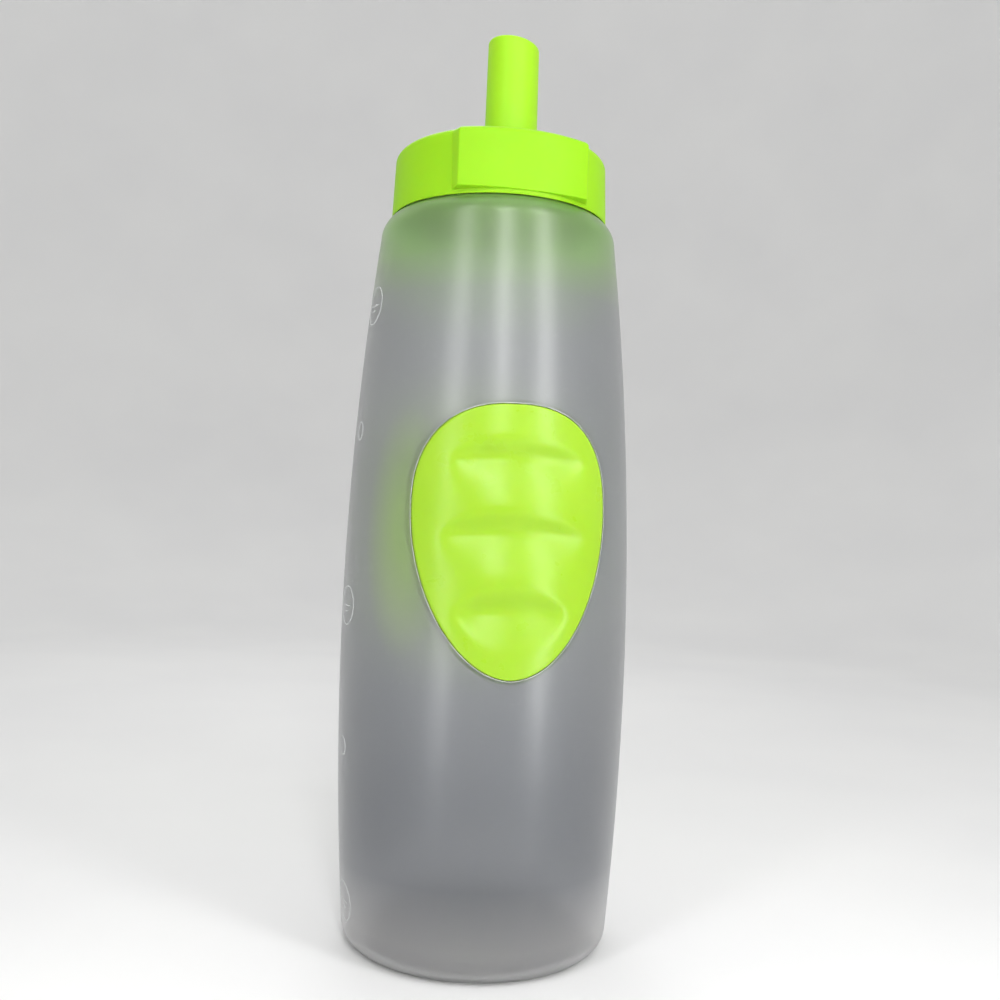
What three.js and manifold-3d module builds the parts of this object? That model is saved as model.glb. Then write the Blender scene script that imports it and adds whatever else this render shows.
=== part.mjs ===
// Sports squeeze bottle with a screw cap, a tall drinking spout and two finger-grip pads.
// Millimetres, +Z up, origin at the centre of the base, front grip pad facing -Y.
import * as THREE from 'three';
import { mergeVertices } from 'three/addons/utils/BufferGeometryUtils.js';
import Module from 'manifold-3d';

// ---- Driving dimensions ----------------------------------------------------------------

const GAP = 0.3; // clearance between pieces that meet

// Bottle: the side is one long barrel arc between a rounded base and a rounded shoulder.
const WIDEST_RADIUS = 36.55;
const WIDEST_HEIGHT = 75;
const BARREL_ARC = 862;
const BASE_CORNER = 5;
const SHOULDER_CORNER = 7;
const SHOULDER_HEIGHT = 184.5;
const WALL = 1.2;
const BASE_THICKNESS = 1.6;
const PUSH_UP = { height: 2, radius: 19, foot: 22 };

// Neck and thread
const NECK_RADIUS = 24;
const NECK_WALL = 1.5;
const NECK_TOP = 195.6;
const THREAD = { lead: 5, ridge: 1, neckStart: 187.2, neckTurns: 1.4, capDrop: 2.2, capStart: 0.25, capTurns: 1.2 };

// Grip pads: an egg outline, wider at the top, let into a pocket in the wall
const PAD = { middle: 107.9, halfWidth: 22.9, above: 24.9, below: 37.9, curveAbove: 2.5, curveBelow: 1.9 };
const PAD_PROUD = 0.3;
const POCKET_DEPTH = 3.4;
const SCOOP = { heights: [119, 102.5, 85], halfWidths: [14.5, 16, 11.5], halfHeight: 6.4, depth: 1.8 };

// Cap
const CAP_BOTTOM = 184.8; // inner edge of the skirt's foot
const CAP_SKIRT = 183.3; // its outer edge, which follows the shoulder down
const CAP_TOP = 199.8;
const CAP_FOOT_RADIUS = 27.9;
const CAP_HEAD_RADIUS = 27.3;
const CAP_EDGE = 2;
const CAP_BORE = 25.5;
const CAP_ROOF = 2;
const GRIP = { halfWidth: 16.1, faceArc: 42, proud: 0.3, overhang: 1.6, clearBelow: 1.2, underside: 0.4, splay: 1.2 };
const GRIP_TURN = 2.7; // degrees that the tightened cap stands past the pads' line

// Spout, seal and valve, all inside or on the cap
const SPOUT = { offset: 2.3, tipHeight: 231.6, tipRadius: 6.7, footRadius: 6.95, bore: 5.1, cut: 7 };
const FLANGE = { radius: 11, thickness: 1.6 };
const SEAL = { inner: 21.6, outer: 25 };
const VALVE = { radius: 8.6, thickness: 1.5, slit: 8.4, slitWidth: 0.35 };
const RETAINER = { inner: 6, outer: 10.8, shelf: 1.5 };

const AROUND = 48; // facets around the bottle and the cap
const AROUND_SMALL = 32; // facets around the spout and the valve
const STEPS_PER_TURN = 24; // steps along one turn of a thread ridge
const FAR = 60; // reaches past every surface that a cutter has to clear

// ---- Materials -------------------------------------------------------------------------

const plastic = (color, roughness, opacity = 1) =>
  new THREE.MeshStandardMaterial({ color, roughness, metalness: 0, opacity, transparent: opacity < 1 });

const materials = {
  frosted: plastic(0xc9cdcd, 0.45, 0.6),
  pad: plastic(0xb6ef2c, 0.35),
  cap: plastic(0xa8e51e, 0.45),
  spout: plastic(0xaeea22, 0.45),
  silicone: plastic(0xe8e8e2, 0.5, 0.8),
  retainer: plastic(0xf0f0ee, 0.5),
};

// ---- Solid modelling helpers -----------------------------------------------------------

const wasm = await Module();
wasm.setup();

function solid(geometry) {
  const bare = geometry.clone();
  bare.deleteAttribute('normal');
  bare.deleteAttribute('uv');
  const merged = mergeVertices(bare, 1e-4);
  const index = merged.index.array;
  const triangles = [];
  for (let i = 0; i < index.length; i += 3) {
    const [a, b, c] = [index[i], index[i + 1], index[i + 2]];
    if (a !== b && b !== c && c !== a) triangles.push(a, b, c);
  }
  return new wasm.Manifold(new wasm.Mesh({
    numProp: 3,
    vertProperties: new Float32Array(merged.attributes.position.array),
    triVerts: new Uint32Array(triangles),
  }));
}

function geometryOf(manifold) {
  const mesh = manifold.getMesh();
  const geometry = new THREE.BufferGeometry();
  geometry.setAttribute('position', new THREE.BufferAttribute(new Float32Array(mesh.vertProperties), 3));
  geometry.setIndex(new THREE.BufferAttribute(new Uint32Array(mesh.triVerts), 1));
  geometry.computeVertexNormals();
  return geometry;
}

// Turns a profile of [radius, height] points about the Z axis.
function turned(profile, facets = AROUND) {
  const points = profile.map(([radius, height]) => new THREE.Vector2(radius, height));
  return solid(new THREE.LatheGeometry(points, facets).rotateX(Math.PI / 2));
}

// As turned(), for a ring: the profile is a loop that stays clear of the axis.
const turnedRing = (profile, facets = AROUND) => turned([...profile, profile[0]], facets);

const rectangleRing = (inner, outer, bottom, top, facets) =>
  turnedRing([[inner, bottom], [outer, bottom], [outer, top], [inner, top]], facets);

// Pushes an outline in X and Z along Y, from depth `from` to depth `to` in front of the axis.
function towardsFront(outline, from, to) {
  const geometry = new THREE.ExtrudeGeometry(new THREE.Shape(outline), { depth: to - from, bevelEnabled: false });
  return solid(geometry.translate(0, 0, from).rotateX(Math.PI / 2));
}

const radians = THREE.MathUtils.degToRad;

function arc(centreRadius, centreHeight, radius, startDegrees, endDegrees, steps) {
  const points = [];
  for (let i = 0; i <= steps; i += 1) {
    const angle = radians(startDegrees + ((endDegrees - startDegrees) * i) / steps);
    points.push([centreRadius + radius * Math.cos(angle), centreHeight + radius * Math.sin(angle)]);
  }
  return points;
}

// ---- Bottle body -----------------------------------------------------------------------

const barrelRadius = (height) =>
  WIDEST_RADIUS - BARREL_ARC + Math.sqrt(BARREL_ARC ** 2 - (height - WIDEST_HEIGHT) ** 2);

// The side, the corners and everything above the base, pushed inwards by `inset`.
function sideProfile(inset) {
  const shoulderStart = SHOULDER_HEIGHT - SHOULDER_CORNER;
  const footRadius = barrelRadius(BASE_CORNER) - BASE_CORNER;
  const shoulderRadius = barrelRadius(shoulderStart) - SHOULDER_CORNER;
  const steps = 8;
  const side = [];
  for (let i = 1; i < steps; i += 1) {
    const height = BASE_CORNER + ((shoulderStart - BASE_CORNER) * i) / steps;
    side.push([barrelRadius(height) - inset, height]);
  }
  return [
    ...arc(footRadius, BASE_CORNER, BASE_CORNER - inset, -90, 0, 4),
    ...side,
    ...arc(shoulderRadius, shoulderStart, SHOULDER_CORNER - inset, 0, 80, 5),
  ];
}

function outerShape() {
  return turned([
    [0, PUSH_UP.height],
    [PUSH_UP.radius, PUSH_UP.height],
    [PUSH_UP.foot, 0],
    ...sideProfile(0),
    [NECK_RADIUS, SHOULDER_HEIGHT],
    [NECK_RADIUS, NECK_TOP],
    [0, NECK_TOP],
  ]);
}

function innerShape() {
  const neckBore = NECK_RADIUS - NECK_WALL;
  const floor = sideProfile(WALL).map(([radius, height]) => [radius, Math.max(height, BASE_THICKNESS)]);
  return turned([
    [0, PUSH_UP.height + BASE_THICKNESS],
    [PUSH_UP.radius, PUSH_UP.height + BASE_THICKNESS],
    [PUSH_UP.foot, BASE_THICKNESS],
    ...floor,
    [neckBore, SHOULDER_HEIGHT],
    [neckBore, NECK_TOP + 1],
    [0, NECK_TOP + 1],
  ]);
}

// A round core with the barrel's curve, standing `inset` inside the outer surface.
function barrelCore(inset) {
  const profile = [];
  const steps = 8;
  for (let i = 0; i <= steps; i += 1) {
    const height = PAD.middle - PAD.below - 10 + ((PAD.above + PAD.below + 20) * i) / steps;
    profile.push([barrelRadius(height) - inset, height]);
  }
  return turned([[0, profile[0][1]], ...profile, [0, profile[steps][1]]]);
}

// The egg outline of a pad, grown outwards by `grow`.
function eggOutline(grow) {
  const points = [];
  const steps = 40;
  for (let i = 0; i < steps; i += 1) {
    const angle = (2 * Math.PI * i) / steps;
    const [cos, sin] = [Math.cos(angle), Math.sin(angle)];
    const power = 2 / (sin > 0 ? PAD.curveAbove : PAD.curveBelow);
    const half = (sin > 0 ? PAD.above : PAD.below) + grow;
    points.push(new THREE.Vector2(
      Math.sign(cos) * (PAD.halfWidth + grow) * Math.abs(cos) ** power,
      PAD.middle + Math.sign(sin) * half * Math.abs(sin) ** power,
    ));
  }
  return points;
}

const eggBlock = (grow) => towardsFront(eggOutline(grow), 5, FAR);
const toRear = (manifold) => manifold.rotate([0, 0, 180]);
const bothSides = (manifold) => manifold.add(toRear(manifold));

// A helical ridge of round section, its centre line on `radius`.
class Helix extends THREE.Curve {
  constructor(radius, start, firstTurn, turns) {
    super();
    Object.assign(this, { radius, start, firstTurn, turns });
  }

  getPoint(t, target = new THREE.Vector3()) {
    const turn = this.firstTurn + this.turns * t;
    const angle = 2 * Math.PI * turn;
    return target.set(
      this.radius * Math.cos(angle),
      this.radius * Math.sin(angle),
      this.start + THREAD.lead * turn,
    );
  }
}

function threadRidge(radius, start, firstTurn, turns) {
  const section = new THREE.Shape();
  section.absarc(0, 0, THREAD.ridge, 0, 2 * Math.PI);
  const extrudePath = new Helix(radius, start, firstTurn, turns);
  const steps = Math.round(turns * STEPS_PER_TURN);
  return solid(new THREE.ExtrudeGeometry(section, { extrudePath, steps, curveSegments: 4, bevelEnabled: false }));
}

function bottleBody() {
  const pocket = eggBlock(GAP).subtract(barrelCore(POCKET_DEPTH));
  const pocketBack = eggBlock(GAP + WALL).subtract(barrelCore(POCKET_DEPTH + WALL));
  const cavity = innerShape().subtract(bothSides(pocketBack));
  const ridge = threadRidge(NECK_RADIUS, THREAD.neckStart, 0, THREAD.neckTurns);
  return outerShape().add(ridge).subtract(cavity).subtract(bothSides(pocket));
}

// ---- Grip pads -------------------------------------------------------------------------

// Three finger scoops: a ring-shaped groove, kept only within a rounded window.
function scoop(height, halfWidth) {
  const surface = barrelRadius(height) + PAD_PROUD;
  const groove = [];
  const window = [];
  const steps = 12;
  for (let i = 0; i < steps; i += 1) {
    const angle = (2 * Math.PI * i) / steps;
    groove.push([surface + SCOOP.depth * Math.sin(angle), height - SCOOP.halfHeight * Math.cos(angle)]);
  }
  for (let i = 0; i < 2 * steps; i += 1) {
    const angle = (Math.PI * i) / steps;
    window.push(new THREE.Vector2(halfWidth * Math.cos(angle), height + SCOOP.halfHeight * Math.sin(angle)));
  }
  return turnedRing(groove).intersect(towardsFront(window, 5, FAR));
}

function gripPad() {
  const skin = barrelCore(-PAD_PROUD).subtract(barrelCore(POCKET_DEPTH - GAP));
  let pad = skin.intersect(eggBlock(0));
  SCOOP.heights.forEach((height, i) => {
    pad = pad.subtract(scoop(height, SCOOP.halfWidths[i]));
  });
  return pad;
}

// ---- Cap -------------------------------------------------------------------------------

// One raised grip, as a block in front of the cap, its top edge sloped and its underside slightly so.
function capGrip() {
  const face = CAP_FOOT_RADIUS + GRIP.proud;
  const sweep = Math.asin(GRIP.halfWidth / GRIP.faceArc);
  const outline = [];
  const steps = 8;
  for (let i = 0; i <= steps; i += 1) {
    const angle = sweep * ((2 * i) / steps - 1);
    outline.push(new THREE.Vector2(GRIP.faceArc * Math.sin(angle), GRIP.faceArc * (1 - Math.cos(angle)) - face));
  }
  const root = GRIP.halfWidth + GRIP.splay;
  outline.push(new THREE.Vector2(root, -CAP_BORE * 0.8), new THREE.Vector2(-root, -CAP_BORE * 0.8));
  const bottom = CAP_SKIRT + GRIP.clearBelow;
  const block = new THREE.ExtrudeGeometry(new THREE.Shape(outline), { depth: CAP_TOP - bottom, bevelEnabled: false });
  const envelope = turned([
    [0, bottom],
    [face, bottom],
    [face + GRIP.overhang, bottom + GRIP.underside],
    [face + GRIP.overhang, CAP_TOP - CAP_EDGE],
    [CAP_HEAD_RADIUS - CAP_EDGE, CAP_TOP],
    [0, CAP_TOP],
  ]);
  return solid(block.translate(0, 0, bottom)).intersect(envelope);
}

function screwCap() {
  const shell = turned([
    [0, CAP_SKIRT],
    [CAP_FOOT_RADIUS, CAP_SKIRT],
    ...arc(CAP_HEAD_RADIUS - CAP_EDGE, CAP_TOP - CAP_EDGE, CAP_EDGE, 0, 90, 3),
    [0, CAP_TOP],
  ]);
  const bore = turned([
    [0, CAP_SKIRT - 1],
    [CAP_FOOT_RADIUS, CAP_SKIRT - 1],
    [CAP_FOOT_RADIUS, CAP_SKIRT],
    [CAP_BORE, CAP_BOTTOM],
    [CAP_BORE, CAP_TOP - CAP_ROOF],
    [0, CAP_TOP - CAP_ROOF],
  ]);
  const hole = turned([
    [0, CAP_BOTTOM],
    [SPOUT.footRadius + GAP, CAP_BOTTOM],
    [SPOUT.footRadius + GAP, CAP_TOP + 1],
    [0, CAP_TOP + 1],
  ], AROUND_SMALL).translate([SPOUT.offset, 0, 0]);
  const grips = bothSides(capGrip()).rotate([0, 0, GRIP_TURN]);
  const ridge = threadRidge(CAP_BORE, THREAD.neckStart - THREAD.capDrop, THREAD.capStart, THREAD.capTurns);
  return shell.add(grips).subtract(bore).subtract(hole).add(ridge);
}

// ---- Spout, seal and valve -------------------------------------------------------------

const FLANGE_TOP = CAP_TOP - CAP_ROOF - GAP;
const FLANGE_BOTTOM = FLANGE_TOP - FLANGE.thickness;
const VALVE_TOP = FLANGE_BOTTOM - GAP;
const VALVE_BOTTOM = VALVE_TOP - VALVE.thickness;
const SHELF_TOP = VALVE_BOTTOM - GAP;

// A tube through the cap's roof, with a flange below it and its mouth cut on a slant.
function spoutTube() {
  const uncut = SPOUT.tipHeight + SPOUT.footRadius;
  const tube = turnedRing([
    [SPOUT.bore, FLANGE_BOTTOM],
    [FLANGE.radius, FLANGE_BOTTOM],
    [FLANGE.radius, FLANGE_TOP],
    [SPOUT.footRadius, FLANGE_TOP],
    [SPOUT.footRadius, CAP_TOP],
    [SPOUT.tipRadius, SPOUT.tipHeight],
    [SPOUT.tipRadius, uncut],
    [SPOUT.bore, uncut],
  ], AROUND_SMALL);
  const waste = new THREE.BoxGeometry(FAR, FAR, FAR).translate(0, 0, FAR / 2);
  waste.rotateY(radians(SPOUT.cut)).translate(0, 0, SPOUT.tipHeight);
  return tube.subtract(solid(waste)).translate([SPOUT.offset, 0, 0]);
}

const capSealRing = () => rectangleRing(SEAL.inner, SEAL.outer, NECK_TOP + GAP, CAP_TOP - CAP_ROOF - GAP, AROUND);

// A silicone disc with a cross slit that opens under pressure and closes by itself.
function selfClosingValve() {
  const disc = turned([
    [0, VALVE_BOTTOM],
    [VALVE.radius, VALVE_BOTTOM],
    [VALVE.radius, VALVE_TOP],
    [0, VALVE_TOP],
  ], AROUND_SMALL);
  const slit = solid(new THREE.BoxGeometry(VALVE.slit, VALVE.slitWidth, FAR).translate(0, 0, VALVE_TOP));
  return disc.subtract(slit.add(slit.rotate([0, 0, 90]))).translate([SPOUT.offset, 0, 0]);
}

// An L-shaped ring: a shelf under the valve and a wall round it, up to the flange.
function valveRetainerRing() {
  const wall = VALVE.radius + GAP;
  return turnedRing([
    [RETAINER.inner, SHELF_TOP - RETAINER.shelf],
    [RETAINER.outer, SHELF_TOP - RETAINER.shelf],
    [RETAINER.outer, VALVE_TOP],
    [wall, VALVE_TOP],
    [wall, SHELF_TOP],
    [RETAINER.inner, SHELF_TOP],
  ], AROUND_SMALL).translate([SPOUT.offset, 0, 0]);
}

// ---- Assembly --------------------------------------------------------------------------

const bottle = new THREE.Group();

function addPiece(name, manifold, material) {
  const mesh = new THREE.Mesh(geometryOf(manifold), material);
  mesh.name = name;
  bottle.add(mesh);
}

const pad = gripPad();
addPiece('bottle_body', bottleBody(), materials.frosted);
addPiece('front_grip_pad', pad, materials.pad);
addPiece('rear_grip_pad', toRear(pad), materials.pad);
addPiece('screw_cap', screwCap(), materials.cap);
addPiece('spout_tube', spoutTube(), materials.spout);
addPiece('cap_seal_ring', capSealRing(), materials.silicone);
addPiece('self_closing_valve', selfClosingValve(), materials.silicone);
addPiece('valve_retainer_ring', valveRetainerRing(), materials.retainer);

export default bottle;
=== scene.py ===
import math

import bmesh
import bpy
import numpy as np
from mathutils import Matrix, Vector


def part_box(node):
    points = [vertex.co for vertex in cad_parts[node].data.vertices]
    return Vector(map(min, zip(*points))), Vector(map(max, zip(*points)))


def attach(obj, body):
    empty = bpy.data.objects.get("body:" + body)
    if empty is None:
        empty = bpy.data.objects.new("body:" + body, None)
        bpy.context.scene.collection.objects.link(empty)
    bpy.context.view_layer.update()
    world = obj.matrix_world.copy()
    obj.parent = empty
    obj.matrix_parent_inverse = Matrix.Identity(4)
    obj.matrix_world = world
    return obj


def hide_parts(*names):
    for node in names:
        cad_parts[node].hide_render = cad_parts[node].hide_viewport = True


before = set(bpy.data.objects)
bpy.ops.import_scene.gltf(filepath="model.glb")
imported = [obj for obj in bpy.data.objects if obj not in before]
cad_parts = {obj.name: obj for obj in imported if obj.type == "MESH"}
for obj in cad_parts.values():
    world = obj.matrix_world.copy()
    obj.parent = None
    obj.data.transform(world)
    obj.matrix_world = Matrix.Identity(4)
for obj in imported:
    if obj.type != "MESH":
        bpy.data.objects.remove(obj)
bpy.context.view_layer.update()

# Sizes are in millimetres unless their name says otherwise; MM turns them into metres.
MM = 0.001
TURN = 2 * math.pi


def box_mm(node):
    low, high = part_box(node)
    return low / MM, high / MM


BODY_HIGH = box_mm("bottle_body")[1]
PAD_LOW, PAD_HIGH = box_mm("front_grip_pad")
CAP_LOW, CAP_HIGH = box_mm("screw_cap")
TUBE_LOW, TUBE_HIGH = box_mm("spout_tube")
SEAL_LOW, SEAL_HIGH = box_mm("cap_seal_ring")
VALVE_LOW, VALVE_HIGH = box_mm("self_closing_valve")
RETAINER_LOW, RETAINER_HIGH = box_mm("valve_retainer_ring")

# Bottle
WIDEST_RADIUS = BODY_HIGH.x
WIDEST_HEIGHT = 75
BARREL_ARC = 862
BASE_CORNER = 5
SHOULDER_CORNER = 7
SHOULDER_HEIGHT = 184.5
WALL = 1.2
BASE_THICKNESS = 1.6
PUSH_UP_HEIGHT = 2
PUSH_UP_FLAT = 13
PUSH_UP_FOOT = 22
NECK_RADIUS = 24
NECK_WALL = 1.5
NECK_TOP = BODY_HIGH.z

# Threads: a ridge on the neck and one in the cap, on the same lead
LEAD = 5
RIDGE_HEIGHT = 0.9
RIDGE_HALF = 0.95
NECK_RIDGE = {"start": 187.2, "first_turn": 0, "turns": 1.4}
CAP_RIDGE = {"start": 185, "first_turn": 0.25, "turns": 1.2}

# Grip pads: an egg outline, wider at the top
PAD_HALF_WIDTH = PAD_HIGH.x
PAD_TOP = PAD_HIGH.z
PAD_BELOW = 37.9
PAD_MIDDLE = PAD_LOW.z + PAD_BELOW
PAD_ABOVE = PAD_TOP - PAD_MIDDLE
PAD_POWER_ABOVE = 2.5
PAD_POWER_BELOW = 1.9
PAD_PROUD = 0.3
PAD_EDGE = 0.5
POCKET_DEPTH = 3.4
POCKET_SIDE = 0.7
GAP = 0.3

# Finger scoops, measured down from the pad's top: an arched crest drops to a level valley,
# and the floor then climbs to its foot. `tilt` lowers the crest towards +X, per millimetre.
SCOOP_DEPTH = 2.3
SCOOPS = [
    {"crest": 7.2, "valley": 12.8, "foot": 23.4, "middle": 1.6, "half": 17, "tilt": 0.05, "foot_sag": 1.5},
    {"crest": 24, "valley": 30.2, "foot": 40.4, "middle": 0.7, "half": 18.4, "tilt": 0.06, "foot_sag": 1.5},
    {"crest": 41.4, "valley": 48, "foot": 58, "middle": 0, "half": 14, "tilt": 0, "foot_sag": 7},
]
ARCH_POWER = 2.4
SCOOP_BLUR = 1.1

# Cap
CAP_SKIRT = CAP_LOW.z
CAP_SEAT = CAP_SKIRT + 1.5
CAP_TOP = CAP_HIGH.z
CAP_FOOT_RADIUS = 27.9
CAP_HEAD_RADIUS = 27.3
CAP_EDGE = 2
CAP_BORE = 25.5
CAP_ROOF = 2
GRIP_TURN = math.radians(2.7)
GRIP_HALF_WIDTH = 16.1
GRIP_FACE_ARC = 42
GRIP_PROUD = 0.3
GRIP_CLEAR_BELOW = 1.2
GRIP_UNDERSIDE = 4
GRIP_SPLAY = 1.2
GRIP_ROOT = 0.8 * CAP_BORE

# Spout
TUBE_X = (TUBE_LOW.x + TUBE_HIGH.x) / 2
FLANGE_RADIUS = (TUBE_HIGH.x - TUBE_LOW.x) / 2
FLANGE_BOTTOM = TUBE_LOW.z
FLANGE_THICKNESS = 1.6
TUBE_FOOT_RADIUS = 6.95
TUBE_TIP_RADIUS = 6.7
TUBE_BORE = 5.1
TUBE_CUT = math.tan(math.radians(7))
TUBE_TIP = TUBE_HIGH.z - TUBE_TIP_RADIUS * TUBE_CUT

# Volume marks: level rings down the -X side, turned a little towards the front
MARK_ANGLE = math.radians(192)
MARK_LINE = 0.17
BIG_MARKS = [158.6, 84, 11.8]
SMALL_MARKS = [127.2, 49.7]
BIG_MARK_RADIUS = 4.7
SMALL_MARK_RADIUS = 2.15
MARK_STAND = 0.07
LEVEL_HALF = 2.6
UNDER_HALF = 1.2
UNDER_DROP = 1.4

# Camera
CAMERA_SIDE = math.radians(10.77)
CAMERA_DISTANCE = 270.88
CAMERA_OFFSET = 3
CAMERA_HEIGHT = 103.66
CAMERA_LOOKS_UP = math.radians(1.7)
CAMERA_ROLL = 0.037
CAMERA_LENS = 37.44


# ---- Mesh helpers ----------------------------------------------------------------------


def smooth(t):
    t = np.clip(t, 0, 1)
    return t * t * (3 - 2 * t)


def soft_min(a, b, width):
    mix = np.clip(0.5 + 0.5 * (b - a) / width, 0, 1)
    return b + (a - b) * mix - width * mix * (1 - mix)


def soft_max(a, b, width):
    return -soft_min(-a, -b, width)


def arc(centre_r, centre_z, radius, start, end, steps):
    """Points [radius, height] on an arc, from `start` to `end` degrees."""
    angles = np.radians(np.linspace(start, end, steps + 1))
    return [[centre_r + radius * math.cos(a), centre_z + radius * math.sin(a)] for a in angles]


def line(start, end, steps):
    """Points from `start` to `end`, without the two ends."""
    start, end = np.array(start, float), np.array(end, float)
    return [list(start + (end - start) * i / steps) for i in range(1, steps)]


def rounded(corners, radius, steps=4):
    """A closed outline with each corner rounded off."""
    points = []
    for i, corner in enumerate(corners):
        here = np.array(corner, float)
        before = np.array(corners[i - 1], float) - here
        after = np.array(corners[(i + 1) % len(corners)], float) - here
        reach = min(radius, np.linalg.norm(before) / 2.2, np.linalg.norm(after) / 2.2)
        first = here + before / np.linalg.norm(before) * reach
        last = here + after / np.linalg.norm(after) * reach
        for t in np.linspace(0, 1, steps + 1):
            points.append(list((1 - t) ** 2 * first + 2 * t * (1 - t) * here + t**2 * last))
    return points


def lathe(profile, columns, x=0):
    """Rings of points about a vertical axis at x, one for each [radius, height] of the profile."""
    profile = np.array(profile, float)
    angles = np.linspace(0, TURN, columns, endpoint=False)
    radius, height = profile[:, 0, None], profile[:, 1, None]
    return np.stack([x + radius * np.cos(angles), radius * np.sin(angles), height + 0 * angles], -1)


def skin(name, rings, loop=False, sharp=40):
    """A closed mesh over rings of points: the last ring joins the first, or both ends close on a point."""
    rows, columns = rings.shape[:2]
    row, column = np.meshgrid(np.arange(rows if loop else rows - 1), np.arange(columns), indexing="ij")
    next_row, next_column = (row + 1) % rows, (column + 1) % columns
    corners = [(row, column), (row, next_column), (next_row, next_column), (next_row, column)]
    faces = np.stack([r * columns + c for r, c in corners], -1).reshape(-1, 4).tolist()
    points = rings.reshape(-1, 3)
    if not loop:
        points = np.concatenate([points, [rings[0].mean(0), rings[-1].mean(0)]])
        first, last = rows * columns, rows * columns + 1
        for c in range(columns):
            n = (c + 1) % columns
            faces.append([first, n, c])
            faces.append([last, (rows - 1) * columns + c, (rows - 1) * columns + n])
    mesh = bpy.data.meshes.new(name)
    mesh.from_pydata((points * MM).tolist(), [], faces)
    work = bmesh.new()
    work.from_mesh(mesh)
    bmesh.ops.recalc_face_normals(work, faces=work.faces)
    work.to_mesh(mesh)
    work.free()
    piece = bpy.data.objects.new(name, mesh)
    bpy.context.scene.collection.objects.link(piece)
    finish_shading(piece, sharp)
    return piece


def finish_shading(piece, sharp):
    piece.data.shade_smooth()
    piece.data.set_sharp_from_angle(angle=math.radians(sharp))


def combine(piece, tool, operation, sharp=40):
    """Joins `tool` to the piece or cuts it away, then deletes the tool."""
    modifier = piece.modifiers.new(operation, "BOOLEAN")
    modifier.object = tool
    modifier.operation = operation
    modifier.solver = "MANIFOLD"
    bpy.context.view_layer.update()
    evaluated = piece.evaluated_get(bpy.context.evaluated_depsgraph_get())
    made = bpy.data.meshes.new_from_object(evaluated)
    piece.modifiers.clear()
    old, piece.data = piece.data, made
    bpy.data.meshes.remove(old)
    bpy.data.objects.remove(tool)
    finish_shading(piece, sharp)


def place(piece, body, materials, slot, *nodes):
    """Gives a piece its materials, and lets it stand for CAD nodes and ride on their body; `slot` is not
    used.
    """
    for material in materials:
        piece.data.materials.append(material)
    if nodes:
        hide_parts(*nodes)
    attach(piece, body)


# ---- Bottle ----------------------------------------------------------------------------


def barrel(height):
    return WIDEST_RADIUS - BARREL_ARC + np.sqrt(BARREL_ARC**2 - (height - WIDEST_HEIGHT) ** 2)


def on_barrel(angle, height, out):
    """Points `out` outside the barrel's surface, at an angle about the bottle's axis."""
    radius = barrel(height) + out
    return np.stack([radius * np.cos(angle), radius * np.sin(angle), height + 0 * radius], -1)


def thread(angle, height, start, first_turn, turns):
    """How far a helical ridge stands up, from 0 to 1, with a soft run-out at both ends."""
    rise = np.zeros(np.broadcast(angle, height).shape)
    for whole in range(math.ceil(first_turn + turns) + 1):
        turn = angle / TURN + whole
        fade = smooth((turn - first_turn) / 0.06) * smooth((first_turn + turns - turn) / 0.06)
        across = np.abs(height - start - LEAD * turn) / RIDGE_HALF
        rise = np.maximum(rise, fade * smooth((1 - across) / 0.6))
    return rise


def side_profile(inset, steps):
    shoulder_start = SHOULDER_HEIGHT - SHOULDER_CORNER
    foot = barrel(BASE_CORNER) - BASE_CORNER
    shoulder = barrel(shoulder_start) - SHOULDER_CORNER
    heights = np.linspace(BASE_CORNER, shoulder_start, steps + 1)[1:-1]
    side = [[barrel(h) - inset, h] for h in heights]
    return [
        *arc(foot, BASE_CORNER, BASE_CORNER - inset, -90, 0, 12),
        *side,
        *arc(shoulder, shoulder_start, SHOULDER_CORNER - inset, 0, 82, 12),
    ]


def push_up(radius):
    return PUSH_UP_HEIGHT * (1 - smooth((radius - PUSH_UP_FLAT) / (PUSH_UP_FOOT - PUSH_UP_FLAT)))


def bottle_shell():
    push = [[r, push_up(r)] for r in np.linspace(1.5, PUSH_UP_FOOT, 16)]
    floor = [[r, z + BASE_THICKNESS] for r, z in reversed(push)]
    neck_start = SHOULDER_HEIGHT + 0.3
    neck = [[NECK_RADIUS, z] for z in np.arange(neck_start, NECK_TOP - 0.5, 0.25)]
    bore = NECK_RADIUS - NECK_WALL
    rim = [
        *arc(NECK_RADIUS - 0.5, NECK_TOP - 0.5, 0.5, 0, 90, 4),
        *arc(bore + 0.5, NECK_TOP - 0.5, 0.5, 90, 180, 4),
    ]
    inner_side = [[r, max(z, BASE_THICKNESS)] for r, z in reversed(side_profile(WALL, 56))]
    profile = [
        *push,
        *side_profile(0, 70),
        *neck,
        *rim,
        *line([bore, NECK_TOP - 0.5], [bore, SHOULDER_HEIGHT - 0.5], 6),
        *inner_side,
        *floor,
    ]
    columns = 240
    rings = lathe(profile, columns)
    angles = np.linspace(0, TURN, columns, endpoint=False)
    first = len(push) + len(side_profile(0, 70))
    rows = slice(first, first + len(neck))
    stand = RIDGE_HEIGHT * thread(angles[None, :], rings[rows, :, 2], **NECK_RIDGE)
    rings[rows, :, 0] += stand * np.cos(angles)
    rings[rows, :, 1] += stand * np.sin(angles)
    shell = skin("bottle_shell", rings)
    for side in (1, -1):
        back = egg_slab("pocket_back", GAP + POCKET_SIDE, -POCKET_DEPTH - WALL, -WALL / 2, side)
        combine(shell, back, "UNION")
        combine(shell, egg_slab("pocket", GAP, -POCKET_DEPTH, 3, side), "DIFFERENCE")
    shell.data.materials.clear()
    for face in shell.data.polygons:
        x, y, z = face.center / MM
        in_wall = math.hypot(x, y) > barrel(z) - WALL - 0.3
        face.material_index = int(not in_wall and within_egg(x, z))
    return shell


# ---- Grip pads -------------------------------------------------------------------------

PAD_COLUMNS = 288


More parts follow.
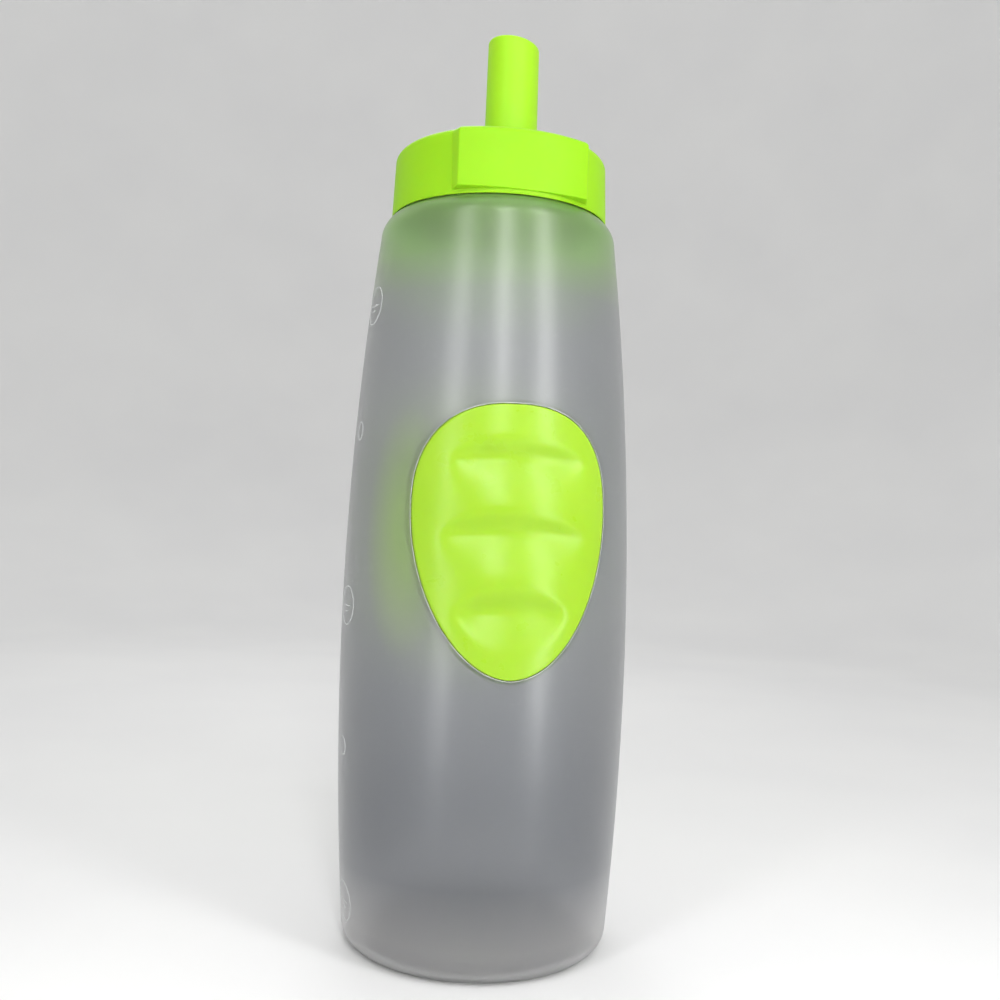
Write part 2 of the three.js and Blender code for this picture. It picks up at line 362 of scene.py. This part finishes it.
def egg(grow):
    """The pad's outline as [across, height] points, grown outwards by `grow`."""
    angles = np.linspace(0, TURN, PAD_COLUMNS, endpoint=False)
    cos, sin = np.cos(angles), np.sin(angles)
    upper = sin > 0
    power = 2 / np.where(upper, PAD_POWER_ABOVE, PAD_POWER_BELOW)
    half = np.where(upper, PAD_ABOVE, PAD_BELOW) + grow
    across = np.sign(cos) * (PAD_HALF_WIDTH + grow) * np.abs(cos) ** power
    return np.stack([across, PAD_MIDDLE + np.sign(sin) * half * np.abs(sin) ** power], -1)


def within_egg(across, height):
    power = PAD_POWER_ABOVE if height > PAD_MIDDLE else PAD_POWER_BELOW
    half = PAD_ABOVE if height > PAD_MIDDLE else PAD_BELOW
    return abs(across / PAD_HALF_WIDTH) ** power + abs((height - PAD_MIDDLE) / half) ** power < 1


def shrunk(outline, share):
    centre = np.array([0, PAD_MIDDLE])
    return centre + (outline - centre) * share


def wrapped(outline, out, side):
    """Lays [across, height] points on the barrel, `out` outside its surface; side 1 is the front."""
    across, height = outline[..., 0], outline[..., 1]
    depth = np.sqrt((barrel(height) + out) ** 2 - across**2)
    return np.stack([side * across, -side * depth, height], -1)


def egg_slab(name, grow, low, high, side):
    """A closed block with the pad's outline, between two offsets from the barrel's surface."""
    outline = egg(grow)
    shares = np.linspace(1 / 16, 1, 16)
    rings = [wrapped(shrunk(outline, s), high, side) for s in shares]
    rings += [wrapped(shrunk(outline, s), low, side) for s in shares[::-1]]
    return skin(name, np.array(rings))


def scoop(across, height, crest, valley, foot, middle, half, tilt, foot_sag):
    crest_z, valley_z, foot_z = PAD_TOP - crest, PAD_TOP - valley, PAD_TOP - foot
    reach = np.clip(np.abs(across - middle) / half, 0, 1)
    arch = 1 - reach**ARCH_POWER
    top = valley_z + (crest_z - valley_z) * arch - tilt * across * arch
    wall = smooth((top - height) / np.maximum(top - valley_z, 0.4))
    bottom = foot_z + foot_sag * reach**2
    down = np.clip((valley_z - height) / np.maximum(valley_z - bottom, 0.4), 0, 1)
    return SCOOP_DEPTH * smooth(arch) * np.where(height > valley_z, wall, (1 - down) ** 1.5)


def scooped(outline):
    """The scoops' depth, averaged over a small patch so that no edge in them is hard."""
    across, height = outline[..., 0], outline[..., 1]
    steps = np.linspace(-SCOOP_BLUR, SCOOP_BLUR, 5)
    patch = []
    for x in steps:
        for z in steps:
            patch.append(np.max([scoop(across + x, height + z, **s) for s in SCOOPS], axis=0))
    return np.mean(patch, axis=0)


def grip_pad(name, side):
    inner = egg(-PAD_EDGE)
    rings = []
    for share in np.linspace(1 / 110, 1, 110):
        ring = shrunk(inner, share)
        rings.append(wrapped(ring, PAD_PROUD - scooped(ring), side))
    for angle in np.radians([22, 45, 67, 90]):
        inset = PAD_EDGE * (1 - math.sin(angle))
        rings.append(wrapped(egg(-inset), PAD_PROUD - PAD_EDGE * (1 - math.cos(angle)), side))
    back = GAP - POCKET_DEPTH
    for out in np.linspace(PAD_PROUD - PAD_EDGE, back + 0.2, 5)[1:]:
        rings.append(wrapped(egg(0), out, side))
    for share in np.linspace(0.99, 0.02, 24):
        rings.append(wrapped(shrunk(egg(0), share), back, side))
    return skin(name, np.array(rings))


# ---- Fine lines on the barrel ----------------------------------------------------------


def bead(name, angle, height, width, stand, sections=8, closed=True):
    """A thin raised line along a path of angles and heights on the barrel."""
    along = np.stack([np.roll(angle, -1) - np.roll(angle, 1), np.roll(height, -1) - np.roll(height, 1)], -1)
    if not closed:
        along[0] = [angle[1] - angle[0], height[1] - height[0]]
        along[-1] = [angle[-1] - angle[-2], height[-1] - height[-2]]
    radius = barrel(height)
    step = np.hypot(along[:, 0] * radius, along[:, 1])
    across_angle, across_height = -along[:, 1] / step / radius, along[:, 0] * radius / step
    turn = np.linspace(0, TURN, sections, endpoint=False)
    side = np.broadcast_to(width, angle.shape)[:, None] * np.cos(turn)
    out = np.broadcast_to(stand, angle.shape)[:, None] * np.sin(turn)
    angles = angle[:, None] + side * across_angle[:, None]
    heights = height[:, None] + side * across_height[:, None]
    return skin(name, on_barrel(angles, heights, out), loop=closed)


def mark_ring(name, height, radius):
    turn = np.linspace(0, TURN, 96, endpoint=False)
    angle = MARK_ANGLE + radius * np.cos(turn) / barrel(height)
    return bead(name, angle, height + radius * np.sin(turn), MARK_LINE, MARK_STAND)


def mark_tick(name, height, half_length):
    """A short level line with tapered ends."""
    along = np.linspace(-1, 1, 25)
    width = MARK_LINE * np.sqrt(np.clip(1 - along**8, 0.02, 1))
    angle = MARK_ANGLE + half_length * along / barrel(height)
    return bead(name, angle, height + 0 * along, width, MARK_STAND, closed=False)


def pad_flash(name, side):
    """The thin uneven lip of wall material that stands round a pad."""
    rng = np.random.default_rng(11 if side > 0 else 12)
    outline = egg(GAP * 0.75)
    across, height = outline[:, 0], outline[:, 1]
    angle = np.arcsin(across / barrel(height)) - math.pi / 2
    waves = np.zeros(PAD_COLUMNS)
    turn = np.linspace(0, TURN, PAD_COLUMNS, endpoint=False)
    for order in range(3, 60):
        waves += rng.normal(0, 1 / math.sqrt(order)) * np.cos(order * turn + rng.uniform(0, TURN))
    waves /= np.abs(waves).max()
    width = 0.07 + 0.04 * waves
    stand = 0.07 + 0.04 * np.roll(waves, 40)
    if side < 0:
        angle = angle + math.pi
    return bead(name, angle, height, width, stand)


# ---- Cap -------------------------------------------------------------------------------


def grip_radius(turn):
    """The grip's radius at an angle from its middle: a shallow arc with steep splayed ends."""
    away = np.abs(turn)
    face_radius = CAP_FOOT_RADIUS + GRIP_PROUD
    shift = GRIP_FACE_ARC - face_radius
    cos = np.cos(away)
    face = -shift * cos + np.sqrt((shift * cos) ** 2 + GRIP_FACE_ARC**2 - shift**2)
    edge_y = math.sqrt(GRIP_FACE_ARC**2 - GRIP_HALF_WIDTH**2) - shift
    slope = edge_y - GRIP_ROOT
    tan = np.tan(np.clip(away, 0.3, 1.2))
    t = (edge_y * tan - GRIP_HALF_WIDTH) / (GRIP_SPLAY + slope * tan)
    end = (GRIP_HALF_WIDTH + GRIP_SPLAY * t) / np.sin(np.clip(away, 0.3, 1.2))
    return soft_min(face, np.where(away > 1.2, 0, end), 0.35)


def cap_side(angle, height):
    taper = CAP_HEAD_RADIUS - CAP_FOOT_RADIUS
    plain = CAP_FOOT_RADIUS + taper * (height - CAP_SKIRT) / (CAP_TOP - CAP_SKIRT)
    from_front = (angle - GRIP_TURN) % math.pi - math.pi / 2
    underside = CAP_FOOT_RADIUS + GRIP_PROUD + GRIP_UNDERSIDE * (height - CAP_SKIRT - GRIP_CLEAR_BELOW)
    return soft_max(plain, soft_min(grip_radius(from_front), underside, 0.3), 0.2)


def cap_angles():
    """Even steps round the cap, and fine ones across the ends of the grips."""
    even = np.linspace(0, TURN, 288, endpoint=False)
    ends = [np.arange(29, 41, 0.25), np.arange(-41, -29, 0.25)]
    fine = [np.radians(e + middle) + GRIP_TURN for e in ends for middle in (90, 270)]
    every = np.sort(np.concatenate([even, *fine]) % TURN)
    return every[np.diff(every, append=every[0] + TURN) > math.radians(0.08)]


def cap_piece():
    angles = cap_angles()
    cos, sin = np.cos(angles), np.sin(angles)

    def ring(radius, height, x=0):
        return np.stack([x + radius * cos, radius * sin, height + 0 * cos], -1)

    edge = 0.3
    rings = []
    for a in np.radians([-60, -30, 0]):
        height = CAP_SKIRT + edge * (1 + math.sin(a))
        rings.append(ring(cap_side(angles, CAP_SKIRT + edge) - edge * (1 - math.cos(a)), height))
    underside = np.arange(CAP_SKIRT + 0.6, CAP_SKIRT + 2.4, 0.1)
    face = np.linspace(CAP_SKIRT + 2.6, CAP_TOP - CAP_EDGE, 14)
    for height in [*underside, *face]:
        rings.append(ring(cap_side(angles, height), height))
    flat = CAP_HEAD_RADIUS - CAP_EDGE
    reach = cap_side(angles, CAP_TOP - CAP_EDGE) - flat
    for a in np.radians(np.arange(7.5, 90.1, 7.5)):
        rings.append(ring(flat + reach * math.cos(a), CAP_TOP - CAP_EDGE * (1 - math.sin(a))))
    hole = TUBE_FOOT_RADIUS + GAP / 2
    for share in np.linspace(0, 1, 9)[1:]:
        rings.append(ring(flat + (hole + 0.4 - flat) * share, CAP_TOP, TUBE_X * share))
    for a in np.radians([30, 60, 90]):
        rings.append(ring(hole + 0.4 * (1 - math.sin(a)), CAP_TOP - 0.4 * (1 - math.cos(a)), TUBE_X))
    roof = CAP_TOP - CAP_ROOF
    rings.append(ring(hole, roof, TUBE_X))
    for share in np.linspace(0, 1, 7)[1:]:
        rings.append(ring(hole + (CAP_BORE - 0.4 - hole) * share, roof, TUBE_X * (1 - share)))
    for height in np.arange(roof - 0.4, CAP_SEAT + 0.5, -0.25):
        ridge = RIDGE_HEIGHT * thread(angles, height + 0 * angles, **CAP_RIDGE)
        rings.append(ring(CAP_BORE - ridge, height))
    rings.append(ring(CAP_BORE + 0.3, CAP_SEAT))
    return skin("cap", np.array(rings), loop=True)


# ---- Spout, seal, valve and retainer ---------------------------------------------------


def spout():
    columns = 144
    flange_top = FLANGE_BOTTOM + FLANGE_THICKNESS
    foot = [
        *arc(TUBE_BORE + 0.3, FLANGE_BOTTOM + 0.3, 0.3, 180, 270, 3),
        *arc(FLANGE_RADIUS - 0.4, FLANGE_BOTTOM + 0.4, 0.4, -90, 0, 3),
        *arc(FLANGE_RADIUS - 0.4, flange_top - 0.4, 0.4, 0, 90, 3),
        *arc(TUBE_FOOT_RADIUS + 0.2, flange_top + 0.2, 0.2, -90, -180, 3),
    ]
    rings = list(lathe(foot, columns, TUBE_X))
    angles = np.linspace(0, TURN, columns, endpoint=False)
    tip = TUBE_TIP - TUBE_TIP_RADIUS * TUBE_CUT * np.cos(angles)
    half_wall = (TUBE_TIP_RADIUS - TUBE_BORE) / 2

    def ring(radius, height):
        return np.stack([TUBE_X + radius * np.cos(angles), radius * np.sin(angles), height + 0 * angles], -1)

    for share in np.linspace(0, 1, 28)[1:]:
        radius = TUBE_FOOT_RADIUS + (TUBE_TIP_RADIUS - TUBE_FOOT_RADIUS) * share
        rings.append(ring(radius, CAP_TOP + (tip - half_wall - CAP_TOP) * share))
    for a in np.radians(np.arange(15, 180.1, 15)):
        radius = TUBE_BORE + half_wall * (1 + math.cos(a))
        rings.append(ring(radius, tip - half_wall * (1 - math.sin(a))))
    for share in np.linspace(1, 0, 20)[1:-1]:
        rings.append(ring(TUBE_BORE, flange_top + (tip - half_wall - flange_top) * share))
    return skin("spout", np.array(rings), loop=True)


def turned_loop(name, corners, radius, columns=128, x=0):
    return skin(name, lathe(rounded(corners, radius), columns, x), loop=True)


def seal():
    outer = SEAL_HIGH.x
    inner = outer - 3.4
    corners = [[inner, SEAL_LOW.z], [outer, SEAL_LOW.z], [outer, SEAL_HIGH.z], [inner, SEAL_HIGH.z]]
    return turned_loop("seal_washer", corners, 0.35, 192)


def retainer():
    x = (RETAINER_LOW.x + RETAINER_HIGH.x) / 2
    outer = (RETAINER_HIGH.x - RETAINER_LOW.x) / 2
    inner, wall, shelf = 6, 8.9, 1.5
    low, high = RETAINER_LOW.z, RETAINER_HIGH.z
    step = low + shelf
    corners = [[inner, low], [outer, low], [outer, high], [wall, high], [wall, step], [inner, step]]
    return turned_loop("retainer", corners, 0.3, 128, x)


def valve():
    """A silicone disc with a thick rim and a dished middle, cut into four petals by a cross slit."""
    x = (VALVE_LOW.x + VALVE_HIGH.x) / 2
    radius = (VALVE_HIGH.x - VALVE_LOW.x) / 2
    low, high = VALVE_LOW.z, VALVE_HIGH.z
    dish = [[r, high - 0.75 * (1 - smooth((r - 2) / 4))] for r in np.linspace(0.4, 6.2, 14)]
    belly = [[r, low + 0.25 * smooth((5.6 - r) / 3)] for r in np.linspace(0.4, 5.8, 10)]
    profile = [
        *belly,
        *arc(radius - 0.35, low + 0.35, 0.35, -90, 0, 3),
        *arc(radius - 0.35, high - 0.35, 0.35, 0, 90, 3),
        *reversed(dish),
    ]
    piece = skin("slit_valve", lathe(profile, 96, x))
    for long_x, long_y in ((4.2, 0.16), (0.16, 4.2)):
        corners = np.array([[-1, -1], [1, -1], [1, 1], [-1, 1]]) * [long_x, long_y] + [x, 0]
        rings = [[[*corner, z] for corner in corners] for z in (low - 1, high + 1)]
        combine(piece, skin("slit_tool", np.array(rings)), "DIFFERENCE")
    return piece


# ---- Materials -------------------------------------------------------------------------


class Recipe:
    """A material around one Principled shader, with short ways to add its nodes."""

    def __init__(self, name, **sockets):
        self.material = bpy.data.materials.new(name)
        self.material.use_nodes = True
        self.tree = self.material.node_tree
        self.shader = self.tree.nodes["Principled BSDF"]
        for socket, value in sockets.items():
            self.shader.inputs[socket.replace("_", " ")].default_value = value
        coordinates = self.tree.nodes.new("ShaderNodeTexCoord")
        self.place = coordinates.outputs["Object"]

    def noise(self, size, detail=2, stretch=(1, 1, 1), seed=0):
        """Smooth noise from 0 to 1 with features about `size` millimetres across."""
        mapping = self.tree.nodes.new("ShaderNodeMapping")
        mapping.inputs["Scale"].default_value = [s / (size * MM) for s in stretch]
        mapping.inputs["Location"].default_value = (seed, 2 * seed, 3 * seed)
        self.tree.links.new(self.place, mapping.inputs["Vector"])
        noise = self.tree.nodes.new("ShaderNodeTexNoise")
        noise.inputs["Scale"].default_value = 1
        noise.inputs["Detail"].default_value = detail
        self.tree.links.new(mapping.outputs["Vector"], noise.inputs["Vector"])
        return noise.outputs["Fac"]

    def height(self):
        """The height above the bottle's base, in metres."""
        split = self.tree.nodes.new("ShaderNodeSeparateXYZ")
        self.tree.links.new(self.place, split.inputs["Vector"])
        return split.outputs["Z"]

    def reach(self, centre, radii):
        """Distance from `centre`, both in millimetres, where 1 is on the ellipsoid with these radii."""
        mapping = self.tree.nodes.new("ShaderNodeMapping")
        mapping.inputs["Scale"].default_value = [1 / (r * MM) for r in radii]
        mapping.inputs["Location"].default_value = [-c / r for c, r in zip(centre, radii)]
        self.tree.links.new(self.place, mapping.inputs["Vector"])
        length = self.tree.nodes.new("ShaderNodeVectorMath")
        length.operation = "LENGTH"
        self.tree.links.new(mapping.outputs["Vector"], length.inputs[0])
        return length.outputs["Value"]

    def ramp(self, factor, low, high, from_low=0.3, from_high=0.7):
        """A number that follows `factor` from `low` to `high`."""
        span = self.tree.nodes.new("ShaderNodeMapRange")
        values = (from_low, from_high, low, high)
        for socket, value in zip(("From Min", "From Max", "To Min", "To Max"), values):
            span.inputs[socket].default_value = value
        self.tree.links.new(factor, span.inputs["Value"])
        return span.outputs["Result"]

    def blend(self, factor, first, second):
        """A colour between two colours, each a value or another node's output."""
        mix = self.tree.nodes.new("ShaderNodeMix")
        mix.data_type = "RGBA"
        self.tree.links.new(factor, mix.inputs["Factor"])
        for socket, colour in (("A", first), ("B", second)):
            target = [s for s in mix.inputs if s.name == socket and s.type == "RGBA"][0]
            if isinstance(colour, tuple):
                target.default_value = (*colour, 1)
            else:
                self.tree.links.new(colour, target)
        return [s for s in mix.outputs if s.type == "RGBA"][0]

    def bump(self, height, distance, strength=1, under=None):
        node = self.tree.nodes.new("ShaderNodeBump")
        node.inputs["Distance"].default_value = distance * MM
        node.inputs["Strength"].default_value = strength
        self.tree.links.new(height, node.inputs["Height"])
        if under is not None:
            self.tree.links.new(under, node.inputs["Normal"])
        return node.outputs["Normal"]

    def set(self, **sockets):
        for socket, value in sockets.items():
            self.tree.links.new(value, self.shader.inputs[socket.replace("_", " ")])
        return self.material


# Painted light and shade in the wall, by height: [share below, share above, from mm, to mm, colour]
LOWER_PAINTED_SHADE_AND_LIGHT = [
    # Painted shade: the wall darker low down, from 85 mm downwards.
    [0.85, 0, 28, 85, (0.34, 0.355, 0.385)],
    # Painted light: lighter in the base below 22 mm, partly the milkier look of the thicker base.
    [0.85, 0, 8, 22, (0.85, 0.84, 0.84)],
]
UPPER_PAINTED_GLOW = [
    # Painted green light from the cap, on the shoulder and round the neck under the cap.
    [0, 0.75, 160, 170, (0.6, 0.79, 0.43)],
    [0, 0.75, 168, 182, (0.5, 0.88, 0.22)],
    [0, 1, 184.8, 187, (0.66, 0.7, 0.66)],
]

# Painted green glows in the wall, light from the pads: round the rear pad, and a patch beside the front
# pad's -X edge only:
# [centre, radii, share at the centre, where it starts to fade, where it ends, colour]
PAINTED_GLOWS = [
    [(0, 30, 104), (33, 30, 39), 0.6, 0.8, 1.25, (0.72, 0.95, 0.38)],
    [(-24, -26, 103), (8, 11, 22), 0.7, 0.3, 1.35, (0.78, 0.99, 0.45)],
]


def frosted_wall():
    """Milky polyethylene, with painted shade low down, painted light in the base (partly its thicker,
    milkier plastic), and painted lime light near the cap and the pads.
    """
    r = Recipe(
        "frosted_wall",
        Transmission_Weight=0.86,
        IOR=1.42,
        Roughness=0.3,
        Coat_Weight=0.5,
        Coat_Roughness=0.3,
    )
    cloud = r.noise(28, 3, (1, 1, 0.35), 1)
    colour = r.blend(r.ramp(cloud, 0, 1), (0.57, 0.585, 0.605), (0.63, 0.64, 0.655))
    speck = r.noise(1.6, 4, seed=2)
    colour = r.blend(r.ramp(speck, 0, 0.25, 0.6, 0.8), colour, (0.78, 0.79, 0.8))
    height = r.height()
    # Painted shade and light by height, then painted green glows from the pads and the cap.
    for below, above, start, end, painted_colour in LOWER_PAINTED_SHADE_AND_LIGHT:
        colour = r.blend(r.ramp(height, below, above, start * MM, end * MM), colour, painted_colour)
    for centre, radii, share, start, end, painted_colour in PAINTED_GLOWS:
        colour = r.blend(r.ramp(r.reach(centre, radii), share, 0, start, end), colour, painted_colour)
    for below, above, start, end, painted_colour in UPPER_PAINTED_GLOW:
        colour = r.blend(r.ramp(height, below, above, start * MM, end * MM), colour, painted_colour)
    normal = r.bump(r.noise(9, 2, (1, 1, 0.4), 3), 0.25, 0.35)
    normal = r.bump(r.noise(0.5, 3, seed=4), 0.02, 0.5, normal)
    return r.set(Base_Color=colour, Normal=normal)


def wall_over_pad():
    """The wall at the back of a pocket, where it lies on the lime pad: its lime is the pad showing through,
    made brighter as painted light from the pad.
    """
    r = Recipe("wall_over_pad", Transmission_Weight=0.2, IOR=1.42, Roughness=0.4)
    colour = r.blend(r.ramp(r.noise(9, 2, seed=8), 0, 1), (0.55, 0.92, 0.1), (0.62, 0.95, 0.13))
    return r.set(Base_Color=colour, Normal=r.bump(r.noise(0.5, 3, seed=9), 0.02, 0.5))


def frosted_line():
    r = Recipe("frosted_line", Transmission_Weight=0.15, IOR=1.42, Roughness=0.5)
    colour = r.blend(r.ramp(r.noise(2, 3, seed=5), 0, 1), (0.58, 0.6, 0.6), (0.74, 0.75, 0.74))
    normal = r.bump(r.noise(0.6, 3, seed=6), 0.03, 0.5)
    return r.set(Base_Color=colour, Normal=normal)


def lime(name, dull, bright, roughness, seed, grain, glow, shine=0.5):
    """Lime plastic: a soft drift of colour, fine moulding grain, uneven gloss, and light `glow` mm deep."""
    r = Recipe(
        name,
        IOR=1.49,
        Subsurface_Weight=0.6,
        Subsurface_Radius=(0.5, 1.0, 0.08),
        Subsurface_Scale=glow * MM,
        Specular_IOR_Level=shine,
    )
    colour = r.blend(r.ramp(r.noise(22, 2, seed=seed), 0, 1), dull, bright)
    gloss = r.ramp(r.noise(6, 4, seed=seed + 1), roughness - 0.04, roughness + 0.05)
    normal = r.bump(r.noise(grain, 2, seed=seed + 2), 0.02, 0.4)
    normal = r.bump(r.noise(14, 1, seed=seed + 3), 0.15, 0.25, normal)
    return r.set(Base_Color=colour, Roughness=gloss, Normal=normal)


def silicone():
    r = Recipe("silicone", Transmission_Weight=0.5, IOR=1.41, Roughness=0.45)
    colour = r.blend(r.ramp(r.noise(4, 3, seed=31), 0, 1), (0.82, 0.82, 0.79), (0.9, 0.9, 0.88))
    return r.set(Base_Color=colour, Normal=r.bump(r.noise(0.4, 2, seed=32), 0.02, 0.4))


def white_plastic():
    r = Recipe("white_plastic", IOR=1.49, Roughness=0.4)
    colour = r.blend(r.ramp(r.noise(5, 3, seed=35), 0, 1), (0.82, 0.82, 0.8), (0.9, 0.9, 0.88))
    return r.set(Base_Color=colour, Normal=r.bump(r.noise(0.5, 2, seed=36), 0.02, 0.4))


def backdrop_paper():
    r = Recipe("backdrop_paper", Roughness=0.9)
    colour = r.blend(r.ramp(r.noise(120, 2, seed=41), 0, 1), (0.87, 0.87, 0.87), (0.9, 0.9, 0.895))
    return r.set(Base_Color=colour)


# ---- Studio ----------------------------------------------------------------------------


def camera():
    """At the object's own height, a little to its left, close and leaning by a small roll."""
    right = Vector((math.cos(CAMERA_SIDE), -math.sin(CAMERA_SIDE), 0))
    away = Vector((math.sin(CAMERA_SIDE), math.cos(CAMERA_SIDE), 0))
    up = Vector((0, 0, 1))
    place_at = (CAMERA_OFFSET * right - CAMERA_DISTANCE * away + CAMERA_HEIGHT * up) * MM
    look = math.cos(CAMERA_LOOKS_UP) * away + math.sin(CAMERA_LOOKS_UP) * up
    level_up = math.cos(CAMERA_LOOKS_UP) * up - math.sin(CAMERA_LOOKS_UP) * away
    side = math.cos(CAMERA_ROLL) * right + math.sin(CAMERA_ROLL) * level_up
    top = math.cos(CAMERA_ROLL) * level_up - math.sin(CAMERA_ROLL) * right
    data = bpy.data.cameras.new("camera")
    data.sensor_width = 36
    data.lens = CAMERA_LENS
    data.clip_start = 0.01
    made = bpy.data.objects.new("camera", data)
    turn = Matrix((side, top, -look)).transposed()
    made.matrix_world = Matrix.Translation(place_at) @ turn.to_4x4()
    bpy.context.scene.collection.objects.link(made)
    bpy.context.scene.camera = made


def backdrop():
    """A pale round floor that curves up into a wall, all round the object."""
    flat, curve, top = 700, 500, 1800
    profile = [[r, 0] for r in np.linspace(20, flat, 8)]
    profile += arc(flat, curve, curve, -90, 0, 24)[1:]
    profile += [[flat + curve, z] for z in np.linspace(curve, top, 6)[1:]]
    rings = lathe(profile, 96)
    faces = []
    rows, columns = rings.shape[:2]
    for row in range(rows - 1):
        for c in range(columns):
            n = (c + 1) % columns
            here, above = row * columns, (row + 1) * columns
            faces.append([here + c, here + n, above + n, above + c])
    faces.append(list(range(columns)))
    mesh = bpy.data.meshes.new("backdrop")
    mesh.from_pydata((rings.reshape(-1, 3) * MM).tolist(), [], faces)
    mesh.shade_smooth()
    mesh.materials.append(backdrop_paper())
    made = bpy.data.objects.new("backdrop", mesh)
    bpy.context.scene.collection.objects.link(made)


def lamp(name, azimuth, height, distance, size, watts, colour=(1, 1, 1)):
    """A soft panel that faces the bottle; azimuth 0 is the front and positive is to the right."""
    data = bpy.data.lights.new(name, "AREA")
    data.shape = "RECTANGLE"
    data.size, data.size_y = size
    data.energy = watts
    data.color = colour
    made = bpy.data.objects.new(name, data)
    angle = math.radians(azimuth)
    spot = Vector((distance * math.sin(angle), -distance * math.cos(angle), height))
    middle = Vector((0, 0, TUBE_HIGH.z * MM / 2))
    made.location = spot
    made.rotation_euler = (middle - spot).to_track_quat("-Z", "Y").to_euler()
    made.visible_camera = False
    bpy.context.scene.collection.objects.link(made)


def studio():
    world = bpy.data.worlds.new("studio")
    world.use_nodes = True
    background = world.node_tree.nodes["Background"]
    background.inputs["Color"].default_value = (1, 1, 1, 1)
    background.inputs["Strength"].default_value = 0.33
    bpy.context.scene.world = world
    bpy.context.scene.view_settings.view_transform = "Standard"
    backdrop()
    lamp("left_panel", -39, 0.17, 0.2, (0.035, 0.34), 0.18)
    lamp("right_panel", 31, 0.17, 0.2, (0.04, 0.34), 0.29)
    lamp("front_panel", -3, 0.45, 0.6, (0.09, 0.5), 1.55)
    lamp("back_panel", 180, 0.7, 0.5, (0.3, 0.3), 1)
    lamp("top_panel", 180, 1.5, 0.2, (1.4, 1.4), 5)


# ---- Assembly --------------------------------------------------------------------------

camera()
studio()

fine_line = frosted_line()
pad_lime = lime("pad_lime", (0.32, 0.55, 0.018), (0.34, 0.58, 0.024), 0.3, 51, 0.35, 1.2, 0.4)
cap_lime = lime("cap_lime", (0.27, 0.57, 0.006), (0.29, 0.6, 0.009), 0.5, 61, 0.3, 1.5, 0.2)
spout_lime = lime("spout_lime", (0.34, 0.66, 0.01), (0.36, 0.69, 0.014), 0.48, 71, 0.3, 1.5, 0.3)
clear_silicone = silicone()

place(bottle_shell(), "bottle", [frosted_wall(), wall_over_pad()], "frosted_wall", "bottle_body")
place(grip_pad("front_pad", 1), "bottle", [pad_lime], "grip_pad", "front_grip_pad")
place(grip_pad("rear_pad", -1), "bottle", [pad_lime], "grip_pad", "rear_grip_pad")
place(pad_flash("front_pad_lip", 1), "bottle", [fine_line], "frosted_wall")
place(pad_flash("rear_pad_lip", -1), "bottle", [fine_line], "frosted_wall")
for number, height in enumerate(BIG_MARKS):
    place(mark_ring(f"volume_ring_{number}", height, BIG_MARK_RADIUS), "bottle", [fine_line], "frosted_wall")
    place(mark_tick(f"volume_level_{number}", height, LEVEL_HALF), "bottle", [fine_line], "frosted_wall")
    under = mark_tick(f"volume_under_{number}", height - UNDER_DROP, UNDER_HALF)
    place(under, "bottle", [fine_line], "frosted_wall")
for number, height in enumerate(SMALL_MARKS):
    place(mark_ring(f"half_ring_{number}", height, SMALL_MARK_RADIUS), "bottle", [fine_line], "frosted_wall")
place(cap_piece(), "cap", [cap_lime], "cap_plastic", "screw_cap")
place(spout(), "cap", [spout_lime], "spout_plastic", "spout_tube")
place(valve(), "cap", [clear_silicone], "silicone", "self_closing_valve")
place(retainer(), "cap", [white_plastic()], "retainer_plastic", "valve_retainer_ring")
place(seal(), "seal", [clear_silicone], "silicone", "cap_seal_ring")
